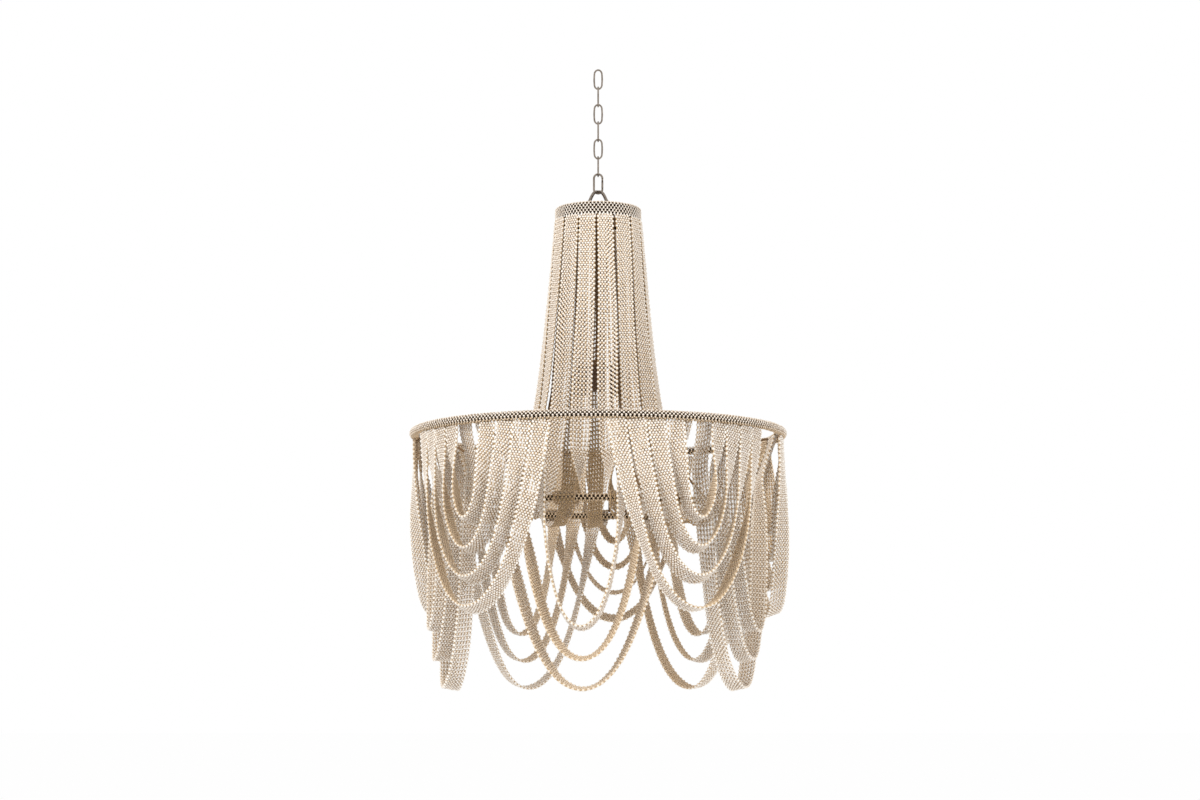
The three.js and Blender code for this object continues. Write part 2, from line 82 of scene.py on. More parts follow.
CUP_RADIUS, CUP_LOW, CUP_HIGH = 9 * MM, 5 * MM, 17 * MM
HOLDER_COUNT, HOLDER_CIRCLE, HOLDER_HEIGHT, HOLDER_RADIUS = 3, 42 * MM, 50 * MM, 14 * MM
MOUTH_RADIUS, MOUTH_DEPTH = 8 * MM, 28 * MM
NEAR_AXIS = 0.05 * MM

# Swags: each tier's count, drop, and how the free arc between the straps of one group is shared out
GROUPS, LOWER_ANGLE = 5, math.radians(-5.5)
SECTOR = 2 * math.pi / GROUPS
SWAG_STEP, SETTLE, HANG_CLEARANCE, TIER_GAP = 56 * MM, 110 * MM, 1 * MM, 1 * MM
SWAG_POINTS = 700
OUTER_COUNT, OUTER_DROP, OUTER_CENTRE, OUTER_STEPS = 4, 192 * MM, 0.33, (0, 0.018, 0.018, 0.018)
LOWER_COUNT, LOWER_DROP, LOWER_CENTRE, LOWER_STEPS = 3, 396 * MM, 0.668, (0, 0.07, 0.078)
OUTER_INSETS = np.array([0, 0.3, 0.6, 1]) * 9.5 * MM
LOWER_INSETS = np.array([0, 0.43, 1]) * 28 * MM
# Where on its way down a strap starts and stops turning, and which part of a quarter turn it makes
OUTER_TWIST, LOWER_TWIST = (0.03, 0.8, 0.75), (0.05, 0.65, 1)
LOWER_TOP_RADIUS = RING_RADIUS - RING_TUBE / 2 - HANG_CLEARANCE - STRAP_THICKNESS / 2
LOWER_MID_RADIUS = RING_RADIUS - OUTER_INSETS[-1] - STRAP_WIDTH - TIER_GAP
LOWER_TOP = RING_Z + 3 * MM

# The net of beads: cells along the strap by cells across it, one bead on each side of a cell
STRAP_BEAD, RING_BEAD, BAND_BEAD = (5.7 * MM, 5.3 * MM), (5.1 * MM, 3.8 * MM), (4.7 * MM, 3.1 * MM)
CELL_ALONG, STRAP_CELLS, RING_CELL, BAND_CELL = 9.1 * MM, 5, 7.9 * MM, 7.5 * MM
CELL_ACROSS = (STRAP_WIDTH - STRAP_BEAD[1]) / STRAP_CELLS
WIDE_RING_ROWS, INNER_RING_ROWS, BAND_ROWS = 7, 6, 6
BEAD_SIDES, THREAD_SIDES, THREAD_RADIUS = 8, 3, 1.2 * MM
BEAD_SHIFT, BEAD_TILT, LENGTH_SPREAD, WIDTH_SPREAD = 0.16 * MM, 0.07, 0.03, 0.035
# At a strap's edge, beads are drawn lighter, a painted highlight on the lit edge, and get less of the painted
# crevice shade.
EDGE_GROWTH, EDGE_HIGHLIGHT_CUT, EDGE_STAIN_AND_SHADE_CUT, TONE_SKEW = 0.1, 0.5, 0.6, (1.6, 2.6)

UP = np.array([0, 0, 1])
rng = np.random.default_rng(41)


# Placing

def place(radius, angle, height):
    """Points at radii and angles round the axis; the angle runs from the front towards +X."""
    radius, angle, height = np.broadcast_arrays(radius, angle, height)
    return np.stack([radius * np.sin(angle), -radius * np.cos(angle), height], axis=-1)


def unit(vectors):
    return vectors / np.linalg.norm(vectors, axis=-1, keepdims=True)


def ease(share):
    held = np.clip(share, 0, 1)
    return held * held * (3 - 2 * held)


def turns(count, start=0.0):
    """Angles evenly round a full turn."""
    return (np.arange(count) + start) / count * 2 * math.pi


def path_run(points):
    """The distance along a path at each of its points."""
    return np.concatenate([[0], np.cumsum(np.linalg.norm(np.diff(points, axis=0), axis=1))])


def bezier(start, first, second, end, count):
    t = np.linspace(0, 1, count)[:, None]
    corners = [np.asarray(p, float) for p in (start, first, second, end)]
    weights = [(1 - t) ** 3, 3 * t * (1 - t) ** 2, 3 * t * t * (1 - t), t ** 3]
    return sum(w * p for w, p in zip(weights, corners))


# Mesh making

def mesh_from(name, points, faces, material, smooth=True):
    mesh = bpy.data.meshes.new(name)
    mesh.from_pydata([tuple(p) for p in points], [], faces)
    mesh.polygons.foreach_set("use_smooth", [smooth] * len(mesh.polygons))
    mesh.materials.append(material)
    mesh.update()
    return mesh


def add_piece(mesh, body, nodes):
    obj = bpy.data.objects.new(mesh.name, mesh)
    bpy.context.scene.collection.objects.link(obj)
    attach(obj, body)
    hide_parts(*nodes)


def add_beaded(mesh, nodes):
    add_piece(mesh, "chandelier", nodes)


def add_bronze(mesh, node):
    add_piece(mesh, "chandelier", [node])


def skin(rows, count, closed=False):
    """Faces over rows of count points each; the rows close to a ring, or the first and last are capped."""
    faces = [(r * count + k, r * count + (k + 1) % count,
              (r + 1) % rows * count + (k + 1) % count, (r + 1) % rows * count + k)
             for r in range(rows if closed else rows - 1) for k in range(count)]
    if not closed:
        faces += [tuple(reversed(range(count))), tuple(range((rows - 1) * count, rows * count))]
    return faces


def tube(points, radii, sides, side_way, closed=False):
    """A round bar along points that lie in one plane, with side_way as the plane's normal."""
    points = np.asarray(points, float)
    radii = np.broadcast_to(radii, len(points))
    if closed:
        travel = unit(np.roll(points, -1, 0) - np.roll(points, 1, 0))
    else:
        travel = unit(np.gradient(points, axis=0))
    normal = unit(np.asarray(side_way, float))
    across = unit(np.cross(travel, normal))
    turn = turns(sides)
    rings = (points[:, None] + radii[:, None, None] * (
        np.cos(turn)[None, :, None] * across[:, None] + np.sin(turn)[None, :, None] * normal))
    return rings.reshape(-1, 3), skin(len(points), sides, closed)


def spoke(line, angle, radius, sides):
    """A round bar in the upright plane at an angle; line holds its radii and heights."""
    return tube(place(line[:, 0], angle, line[:, 1]), radius, sides, (math.cos(angle), math.sin(angle), 0))


def turned(profile, segments, at=(0, 0, 0)):
    """A closed profile of radius and height turned about an upright axis."""
    profile = np.asarray(profile, float)
    turn = turns(segments)
    points = np.stack([
        profile[:, 0, None] * np.cos(turn), profile[:, 0, None] * np.sin(turn),
        np.repeat(profile[:, 1, None], segments, 1)], axis=-1)
    return points.reshape(-1, 3) + np.asarray(at, float), skin(len(profile), segments, closed=True)


def rounded(profile, radius):
    """The profile with its corners rounded, each by less than half of the shorter side beside it."""
    profile = np.asarray(profile, float)
    side_share, steps = 0.45, 3
    result = []
    for i, corner in enumerate(profile):
        before, after = profile[i - 1] - corner, profile[(i + 1) % len(profile)] - corner
        reach = min(radius, np.linalg.norm(before) * side_share, np.linalg.norm(after) * side_share)
        start, end = corner + unit(before) * reach, corner + unit(after) * reach
        for t in np.linspace(0, 1, steps + 1):
            result.append((1 - t) ** 2 * start + 2 * t * (1 - t) * corner + t * t * end)
    return np.array(result)


def together(*parts):
    points, faces, offset = [], [], 0
    for part_points, part_faces in parts:
        points.append(np.asarray(part_points))
        faces.extend(tuple(v + offset for v in face) for face in part_faces)
        offset += len(part_points)
    return np.concatenate(points), faces


def box_part(low, high, bevel):
    """A box with chamfered edges along Z."""
    (x0, y0, z0), (x1, y1, z1) = low, high
    outline = [(x0 + bevel, y0), (x1 - bevel, y0), (x1, y0 + bevel), (x1, y1 - bevel),
               (x1 - bevel, y1), (x0 + bevel, y1), (x0, y1 - bevel), (x0, y0 + bevel)]
    middle = np.array([(x0 + x1) / 2, (y0 + y1) / 2])
    small = [middle + (np.array(p) - middle) * (1 - 2 * bevel / min(x1 - x0, y1 - y0)) for p in outline]
    layers = [(small, z0), (outline, z0 + bevel), (outline, z1 - bevel), (small, z1)]
    points = [(x, y, z) for shape, z in layers for x, y in shape]
    return np.array(points), skin(len(layers), len(outline))


# Shader groups and finishes

def group(name, inputs, outputs):
    tree = bpy.data.node_groups.new(name, "ShaderNodeTree")
    for label, kind, value in inputs:
        tree.interface.new_socket(label, in_out="INPUT", socket_type=kind).default_value = value
    for label, kind in outputs:
        tree.interface.new_socket(label, in_out="OUTPUT", socket_type=kind)
    return tree, tree.nodes.new("NodeGroupInput"), tree.nodes.new("NodeGroupOutput")


def math_node(tree, operation, first, second):
    node = tree.nodes.new("ShaderNodeMath")
    node.operation = operation
    for socket, value in zip(node.inputs, (first, second)):
        if isinstance(value, (int, float)):
            socket.default_value = value
        else:
            tree.links.new(value, socket)
    return node.outputs[0]


def mix_node(tree, share, first, second):
    node = tree.nodes.new("ShaderNodeMix")
    node.data_type = "RGBA"
    for socket, value in ((node.inputs[0], share), (node.inputs[6], first), (node.inputs[7], second)):
        if isinstance(value, bpy.types.NodeSocket):
            tree.links.new(value, socket)
        else:
            socket.default_value = (*value, 1)
    return node.outputs[2]


def noise_node(tree, vector, scale, detail):
    node = tree.nodes.new("ShaderNodeTexNoise")
    node.inputs["Detail"].default_value = detail
    node.inputs["Roughness"].default_value = 0.55
    tree.links.new(scale, node.inputs["Scale"])
    tree.links.new(vector, node.inputs["Vector"])
    return node.outputs["Fac"]


def grain_group():
    """Fine unevenness of a surface, and broad patches over it."""
    tree, given, result = group(
        "surface_grain",
        [("Fine Scale", "NodeSocketFloat", 900.0), ("Patch Scale", "NodeSocketFloat", 30.0)],
        [("Fine", "NodeSocketFloat"), ("Patches", "NodeSocketFloat")])
    spot = tree.nodes.new("ShaderNodeTexCoord").outputs["Object"]
    for scale, detail, label in (("Fine Scale", 2.0, "Fine"), ("Patch Scale", 4.0, "Patches")):
        tree.links.new(noise_node(tree, spot, given.outputs[scale], detail), result.inputs[label])
    return tree


GRAIN = grain_group()


def new_material(name, color, roughness, metallic=0.0):
    material = bpy.data.materials.new(name)
    material.use_nodes = True
    tree = material.node_tree
    shader = tree.nodes["Principled BSDF"]
    shader.inputs["Base Color"].default_value = (*color, 1)
    shader.inputs["Roughness"].default_value = roughness
    shader.inputs["Metallic"].default_value = metallic
    material.diffuse_color = (*color, 1)
    return material, tree, shader


def grained(tree, fine_scale, patch_scale):
    node = tree.nodes.new("ShaderNodeGroup")
    node.node_tree = GRAIN
    node.inputs["Fine Scale"].default_value = fine_scale
    node.inputs["Patch Scale"].default_value = patch_scale
    return node.outputs["Fine"], node.outputs["Patches"]


def bump(tree, shader, height, distance, strength):
    node = tree.nodes.new("ShaderNodeBump")
    node.inputs["Strength"].default_value = strength
    node.inputs["Distance"].default_value = distance
    tree.links.new(height, node.inputs["Height"])
    tree.links.new(node.outputs["Normal"], shader.inputs["Normal"])


def spread(tree, value, low, high):
    """Maps the middle of a noise onto a range."""
    node = tree.nodes.new("ShaderNodeMapRange")
    node.inputs["From Min"].default_value = 0.3
    node.inputs["From Max"].default_value = 0.7
    node.inputs["To Min"].default_value = low
    node.inputs["To Max"].default_value = high
    tree.links.new(value, node.inputs["Value"])
    return node.outputs["Result"]


def read_layer(tree, name):
    node = tree.nodes.new("ShaderNodeAttribute")
    node.attribute_name = name
    return node.outputs["Fac"]


def bead_lacquer(name, inner_shade_color, stain_and_shade_color, inner_stain_and_shade_color):
    """Cream lacquer. The inner side of each bead is painted brown for the shade there, and the ends and flanks
    are darkened by stain and painted crevice shade.
    """
    light, dark = (0.94, 0.92, 0.88), (0.84, 0.765, 0.65)
    material, tree, shader = new_material(name, light, 0.5)
    fine, patches = grained(tree, 1400.0, 14.0)
    color = mix_node(tree, read_layer(tree, "bead_tone"), light, dark)
    color = mix_node(tree, spread(tree, patches, 0.0, 0.25), color, dark)
    # Painted shade: the inner sides take a brown that stands for the shade there.
    painted_shade = read_layer(tree, "bead_inner_shade")
    color = mix_node(tree, painted_shade, color, inner_shade_color)
    # The ends: stain, with painted crevice shade on the ends and flanks.
    color = mix_node(tree, read_layer(tree, "bead_end_stain_and_shade"), color, mix_node(tree, painted_shade, stain_and_shade_color, inner_stain_and_shade_color))
    tree.links.new(color, shader.inputs["Base Color"])
    tree.links.new(spread(tree, fine, 0.42, 0.6), shader.inputs["Roughness"])
    bump(tree, shader, fine, 0.1 * MM, 0.25)
    return material


def finish(name, color, roughness, scales, metallic=0.0, specular=None, tones=None, worn=1.0, gloss=None,
           relief=None):
    """A finish in two tones by patches; gloss is the range of its roughness, and relief its bump.

    The roughness follows the fine grain, or the patches where there are no tones.
    """
    material, tree, shader = new_material(name, color, roughness, metallic)
    if specular is not None:
        shader.inputs["Specular IOR Level"].default_value = specular
    fine, patches = grained(tree, *scales)
    if tones:
        tree.links.new(mix_node(tree, spread(tree, patches, 0.0, worn), *tones), shader.inputs["Base Color"])
    if gloss:
        tree.links.new(spread(tree, fine if tones else patches, *gloss), shader.inputs["Roughness"])
    if relief:
        bump(tree, shader, fine, *relief)
    return material


# Each bead finish: the brown of painted shade on inner sides, then the colours of stain and painted crevice
# shade at the ends, outside and inside.
CREAM = bead_lacquer("cream_beads", (0.7, 0.52, 0.31), (0.28, 0.155, 0.06), (0.24, 0.14, 0.06))
# A darker copy for the column straps: deeper brown on inner sides and ends, painted shade for the dark inside
# of the column.
SHADED_COLUMN_BEADS = bead_lacquer("shaded_column_beads", (0.5, 0.345, 0.185), (0.4, 0.24, 0.105), (0.06, 0.03, 0.012))
NICKEL = finish("warm_nickel", (0.30, 0.255, 0.215), 0.3, (2600.0, 160.0), metallic=1.0,
                tones=((0.37, 0.315, 0.265), (0.19, 0.155, 0.125)), gloss=(0.22, 0.38), relief=(0.06 * MM, 0.3))
BRONZE = finish("dark_bronze", (0.12, 0.072, 0.036), 0.62, (1500.0, 60.0), specular=0.2,
                tones=((0.12, 0.072, 0.036), (0.264, 0.1584, 0.0792)), worn=0.6, gloss=(0.56, 0.74),
                relief=(0.1 * MM, 0.3))
# Near-black backing under the beads, on the band and round the hoops: painted shade, so that the holes of the
# net show the dark inside
SHADE_BACKING = finish("painted_shade_backing", (0.02, 0.012, 0.007), 0.95, (1200.0, 80.0), specular=0.1,
                  tones=((0.026, 0.016, 0.009), (0.012, 0.008, 0.005)), relief=(0.15 * MM, 0.5))
BROWN = finish("brown_plastic", (0.10, 0.06, 0.035), 0.5, (1800.0, 50.0), specular=0.25, gloss=(0.35, 0.5),
               relief=(0.08 * MM, 0.35))
BRASS = finish("contact_brass", (0.62, 0.45, 0.2), 0.3, (2200.0, 200.0), metallic=1.0,
               tones=((0.68, 0.5, 0.24), (0.45, 0.3, 0.13)), gloss=(0.22, 0.4))
# The threads are real, but drawn thick and brown so that the gaps between beads show the brown of the shade
# there.
THREAD = finish("waxed_thread", (0.56, 0.39, 0.20), 0.8, (3000.0, 400.0),
                tones=((0.62, 0.44, 0.235), (0.49, 0.33, 0.16)), relief=(0.08 * MM, 0.4))


# Beads

def bead_template():
    """One bead along X: a ring of points at each end's shoulder and at the middle, and a point at each end."""
    turn = turns(BEAD_SIDES, 0.5)
    # The drilled ends carry stain; the ends and the flanks that face the neighbouring beads also get painted
    # crevice shade.
    shoulder, shoulder_girth, shoulder_stain_and_shade, flank_shade = 0.66, 0.75, 0.35, 0.36
    points, end_stain_and_shade, painted_shade = [(-1, 0, 0)], [1.0], [0.5]
    for along, girth, end in ((-shoulder, shoulder_girth, shoulder_stain_and_shade), (0, 1, 0),
                              (shoulder, shoulder_girth, shoulder_stain_and_shade)):
        points += [(along, girth * math.cos(a), girth * math.sin(a)) for a in turn]
        end_stain_and_shade += [end + flank_shade * math.cos(a) ** 2 for a in turn]
        # The back half of the bead, away from its face, gets painted shade.
        painted_shade += [float(ease(0.5 - 0.8 * math.sin(a))) for a in turn]
    points.append((1, 0, 0))
    end_stain_and_shade.append(1.0)
    painted_shade.append(0.5)
    n = BEAD_SIDES
    faces = [(0, 1 + (k + 1) % n, 1 + k) for k in range(n)]
    for a in (1, 1 + n):
        faces += [(a + k, a + (k + 1) % n, a + n + (k + 1) % n, a + n + k) for k in range(n)]
    last = 1 + 3 * n
    faces += [(last, last - n + k, last - n + (k + 1) % n) for k in range(n)]
    return np.array(points), np.array(end_stain_and_shade), np.array(painted_shade), faces


BEAD_POINTS, BEAD_END_STAIN_AND_SHADE, BEAD_INNER_SHADE, BEAD_FACES = bead_template()
BEAD_CORNERS = np.array([v for face in BEAD_FACES for v in face])
BEAD_STARTS = np.cumsum([0] + [len(face) for face in BEAD_FACES[:-1]])


def bead_mesh(name, beads, material, shaded=0.0, inside=1.0):
    """Builds the beads as one mesh. shaded and inside tell how much painted shade each bead gets outside and
    inside.
    """
    centre, axis, face, length, width, at_edge = beads
    count, per_bead = len(centre), len(BEAD_POINTS)
    side = unit(np.cross(face, axis))
    face = np.cross(axis, side)
    points = centre[:, None]
    for k, (way, size) in enumerate(((axis, length), (side, width), (face, width))):
        points = points + BEAD_POINTS[None, :, k, None] * (way * size[:, None] / 2)[:, None]
    mesh = bpy.data.meshes.new(name)
    mesh.vertices.add(count * per_bead)
    mesh.vertices.foreach_set("co", points.astype(np.float32).ravel())
    mesh.loops.add(count * len(BEAD_CORNERS))
    shift = np.arange(count)[:, None]
    mesh.loops.foreach_set("vertex_index", (BEAD_CORNERS[None] + shift * per_bead).astype(np.int32).ravel())
    mesh.polygons.add(count * len(BEAD_FACES))
    starts = BEAD_STARTS[None] + shift * len(BEAD_CORNERS)
    mesh.polygons.foreach_set("loop_start", starts.astype(np.int32).ravel())
    mesh.update(calc_edges=True)
    mesh.polygons.foreach_set("use_smooth", np.ones(len(mesh.polygons), bool))
    # Edge beads lighter: painted highlight.
    tone = np.clip(rng.beta(*TONE_SKEW, count), 0, 1) * (1 - EDGE_HIGHLIGHT_CUT * at_edge)
    # Painted shade per point: the back half of each bead, or the whole bead as far as shaded asks.
    painted_shade = np.maximum(BEAD_INNER_SHADE[None] * inside, np.broadcast_to(shaded, count)[:, None])
    layers = {"bead_tone": np.repeat(tone, per_bead), "bead_inner_shade": painted_shade.ravel(),
              "bead_end_stain_and_shade": (BEAD_END_STAIN_AND_SHADE[None] * (1 - EDGE_STAIN_AND_SHADE_CUT * at_edge[:, None])).ravel()}
    for label, values in layers.items():
        mesh.attributes.new(label, "FLOAT", "POINT").data.foreach_set("value", values.astype(np.float32))
    mesh.materials.append(material)
    mesh.update()
    return mesh


def grid(along, across):
    i, j = np.meshgrid(np.arange(along), np.arange(across), indexing="ij")
    return i.ravel().astype(float), j.ravel().astype(float)


def net(surface, along, across, bead=STRAP_BEAD, ring_along=False, ring_across=False):
    """Beads on a net of cells. surface gives centre, travel, across and face at places counted in cells."""
    long_u, long_v = grid(along, across + (not ring_across))
    cross_u, cross_v = grid(along + (not ring_along), across)
    u, v = np.concatenate([long_u + 0.5, cross_u]), np.concatenate([long_v, cross_v + 0.5])
    lengthways = np.arange(len(u)) < len(long_u)
    centre, _, _, face = surface(u, v)
    reach = 0.2
    ahead = surface(u + reach * lengthways, v + reach * ~lengthways)[0]
    behind = surface(u - reach * lengthways, v - reach * ~lengthways)[0]
    axis = unit(ahead - behind)
    count = len(u)
    centre = centre + rng.normal(0, BEAD_SHIFT, (count, 3))
    axis = unit(axis + rng.normal(0, BEAD_TILT, (count, 3)))
    face = unit(face - axis * (face * axis).sum(-1, keepdims=True))
    length = bead[0] * (1 + rng.normal(0, LENGTH_SPREAD, count))
    width = bead[1] * (1 + rng.normal(0, WIDTH_SPREAD, count))
    at_edge = lengthways & ((v < 0.5) | (v > across - 0.5)) & (not ring_across)
    growth = 1 + EDGE_GROWTH * at_edge
    return centre, axis, face, length * growth, width * growth, at_edge.astype(float)


def staggered(u, v, cells):
    """The angle round the axis on a closed net whose rows stand by half a cell from one another."""
    return (u + np.floor(v) % 2 / 2) / cells * 2 * math.pi


class Strap:
    """A path with its frame, read by the distance along it."""

    def __init__(self, points, face, travel=None):
        self.points = points
        self.travel = unit(np.gradient(points, axis=0)) if travel is None else travel
        self.face = unit(face - self.travel * (face * self.travel).sum(-1, keepdims=True))
        self.run = path_run(points)
        self.length = self.run[-1]

    def at(self, distance):
        def read(values):
            return np.stack([np.interp(distance, self.run, values[:, k]) for k in range(3)], axis=-1)
        travel, face = unit(read(self.travel)), unit(read(self.face))
        return read(self.points), travel, unit(np.cross(travel, face)), face


def strap_net(strap, start, end, bow, widths):
    """The net of one strap between two distances. bow curls its section, widths tells how wide it is drawn."""
    cells = max(4, round((end - start) / CELL_ALONG))
    held_cells, flat_share = 6, 0.35
    # Waves along the strap, each as height and count: of its width, its sideways drift and its curl
    width_wave, drift_wave, curl_waves = (0.035, 9), (0.7 * MM, 13), ((0.6, 7), (0.4, 17))
    phase = rng.uniform(0, 2 * math.pi, 4)
    lean, waves = rng.uniform((0.1, 0.05), (0.3, 0.28)), rng.uniform((5, 6), (9, 14))

    def surface(u, v):
        share = u / cells
        distance = start + share * (end - start)
        lateral = (v - STRAP_CELLS / 2) * CELL_ACROSS * widths(distance)
        lateral = lateral * (1 + width_wave[0] * np.sin(width_wave[1] * share + phase[0]))
        lateral = lateral + drift_wave[0] * np.sin(drift_wave[1] * share + phase[1])
        held = ease(share * cells / held_cells) * ease((1 - share) * cells / held_cells)
        slant = lean[0] * np.sin(waves[0] * share + phase[2]) * lateral
        chevron = lean[1] * np.sin(waves[1] * share + phase[3]) * (np.abs(lateral) - STRAP_WIDTH / 4)
        centre, travel, sideways, face = strap.at(distance + held * (slant + chevron))
        curl = bow * sum(size * np.sin(count * share + at)
                         for (size, count), at in zip(curl_waves, phase[2:]))
        lift = curl * ((2 * lateral / STRAP_WIDTH) ** 2 - flat_share)
        return centre + sideways * lateral[:, None] + face * lift[:, None], travel, sideways, face

    return net(surface, cells, STRAP_CELLS), surface, cells


def threads(surface, cells):
    """Threads through the lengthways beads, as thin three-sided runs."""
    turn = turns(THREAD_SIDES)
    u = np.arange(2 * cells + 1) / 2
    parts = []
    for j in range(STRAP_CELLS + 1):
        centre, _, sideways, face = surface(u, np.full(len(u), float(j)))
        rings = centre[:, None] + THREAD_RADIUS * (
            np.cos(turn)[None, :, None] * sideways[:, None] + np.sin(turn)[None, :, None] * face[:, None])
        parts.append((rings.reshape(-1, 3), skin(len(u), THREAD_SIDES)))
    return together(*parts)


# Chain and snap hook

def stadium(length, width, wire):
    """The middle line of a wire bent to a long loop, with the inside of its top bend at the origin."""
    bend, inside = (width - wire) / 2, width / 2 - wire
    low = -(length - 2 * wire - inside)
    turn = np.linspace(0, math.pi, 17)
    top = np.stack([bend * np.cos(turn), 0 * turn, -inside + bend * np.sin(turn)], axis=-1)
    bottom = np.stack([-bend * np.cos(turn), 0 * turn, low - bend * np.sin(turn)], axis=-1)
    side = np.linspace(0, 1, 11)[1:-1, None]
    down = top[-1] + (bottom[0] - top[-1]) * side
    up = bottom[-1] + (top[0] - bottom[-1]) * side
    return top, down, bottom, up, bend, low


def add_chain():
    """Links that are a little narrower at their ends, each with a weld halfway up one side."""
    top, down, bottom, up, _, _ = stadium(LINK_LENGTH, LINK_WIDTH, LINK_WIRE)
    points = np.concatenate([top, down, bottom, up])
    middle = (points[:, 2].max() + points[:, 2].min()) / 2
    height = np.ptp(points[:, 2]) / 2
    end_taper, taper_power = 0.16, 1.6
    points[:, 0] *= 1 - end_taper * np.abs((points[:, 2] - middle) / height) ** taper_power
    radii = np.full(len(points), LINK_WIRE / 2)
    weld = len(top) + len(down) + len(bottom) + len(up) // 2
    radii[weld - 1:weld + 2] *= (1.03, 1.09, 1.03)
    for i in range(LINK_COUNT):
        path = points if i % 2 == 0 else np.stack([-points[:, 1], points[:, 0], points[:, 2]], axis=-1)
        normal = (0, 1, 0) if i % 2 == 0 else (-1, 0, 0)
        body = tube(path + np.array([0, 0, -i * LINK_PITCH]), radii, 16, normal, closed=True)
        carrier = f"chain_link_{i + 1}" if i < 3 else "lower_links"
        mesh = mesh_from(f"welded_link_{i + 1}", *body, NICKEL)
        add_piece(mesh, carrier, [f"chain_link_{i + 1}"])


def gate_ear(bend, sign, low, high):
    """One of the two cheeks that hold the gate on the tang."""
    reach, half_slot, rounding = SNAP_WIRE / 2, TANG / 2 + SEAT, 0.8 * MM
    half_arc = math.acos(half_slot / reach)
    outline = [(reach * math.sin(a), sign * reach * math.cos(a)) for a in np.linspace(-half_arc, half_arc, 9)]
    outline = outline if sign < 0 else outline[::-1]
    rows = [(bend + x * shrink, y, SNAP_TOP + z)
            for z, shrink in ((low, 1), (high - rounding, 1), (high, 0.7)) for x, y in outline]
    return np.array(rows), skin(3, len(outline))


def add_snap_hook():
    top, down, bottom, _, bend, low = stadium(SNAP_LENGTH, SNAP_WIDTH, SNAP_WIRE)
    start = np.array([[bend, 0, -GATE_DROP + PIVOT_RELIEF]])
    nose = np.array([[bend, 0, low + NOSE * 0.6], [bend, 0, low + NOSE]])
    path = np.concatenate([start, top, down, bottom, nose])
    radii = np.full(len(path), SNAP_WIRE / 2)
    radii[-1] *= 0.86
    body = tube(path + np.array([0, 0, SNAP_TOP]), radii, 20, (0, 1, 0))
    tang_half, tang_overlap, tang_rise, tang_bevel = SNAP_WIRE * 0.4, 1 * MM, 0.8 * MM, 0.3 * MM
    tang_low = SNAP_TOP - GATE_DROP - SNAP_WIRE / 2 + tang_rise
    tang_high = SNAP_TOP - GATE_DROP + PIVOT_RELIEF + tang_overlap
    tang = box_part((bend - tang_half, -TANG / 2, tang_low),
                    (bend + tang_half, TANG / 2, tang_high), tang_bevel)
    mesh = mesh_from("snap_wire", *together(body, tang), NICKEL)
    add_piece(mesh, "snap_hook", ["snap_hook_body"])

    gate_low, slot_low = low + NOSE + SEAT, -GATE_DROP - SNAP_WIRE / 2 - SEAT
    heights = np.array([gate_low, gate_low + 0.5 * MM, gate_low + 4 * MM, slot_low])
    gate_line = np.stack([np.full(4, bend), np.zeros(4), SNAP_TOP + heights], axis=-1)
    solid_part = tube(gate_line, SNAP_WIRE / 2 * np.array([0.85, 1, 1, 1]), 20, (0, 1, 0))
    ears = [gate_ear(bend, sign, slot_low, GATE_EAR - GATE_DROP) for sign in (1, -1)]
    mesh = mesh_from("sprung_gate", *together(solid_part, *ears), NICKEL)
    add_piece(mesh, "snap_gate", ["snap_hook_gate"])

    pin_line = np.array([[bend, y, SNAP_TOP - GATE_DROP] for y in (-2.3 * MM, -2.15 * MM, 2.15 * MM, 2.3 * MM)])
    pin = tube(pin_line, np.array([0.55, 0.7, 0.7, 0.55]) * MM, 16, (0, 0, 1))
    add_piece(mesh_from("gate_pin", *pin, BRONZE), "snap_hook", ["snap_hook_rivet"])


# Frame

def add_crown(foot):
    apex = CROWN_UNDERSIDE + CROWN_WIRE / 2
    arm = bezier((0, apex), (CROWN_SHOULDER, apex), (CROWN_FLARE, foot + CROWN_WIRE),
                 (HOOP_RADIUS - HOOP_THICKNESS / 2, foot), 25)
    arch = np.concatenate([arm[:0:-1] * (-1, 1), arm])
    arches = [spoke(arch, angle, CROWN_WIRE / 2, 14) for angle in (math.pi / 4, -math.pi / 4)]
    weld_profile = [(0.02, 1.9), (2.2, 1.5), (3.4, 0.4), (3.5, -0.9), (2.6, -1.7), (0.02, -1.9)]
    weld = turned([(radius * MM, apex + rise * MM) for radius, rise in weld_profile], 24)
    mesh = mesh_from("wire_crown", *together(*arches, weld), NICKEL)
    add_piece(mesh, "chandelier", ["crown_frame"])


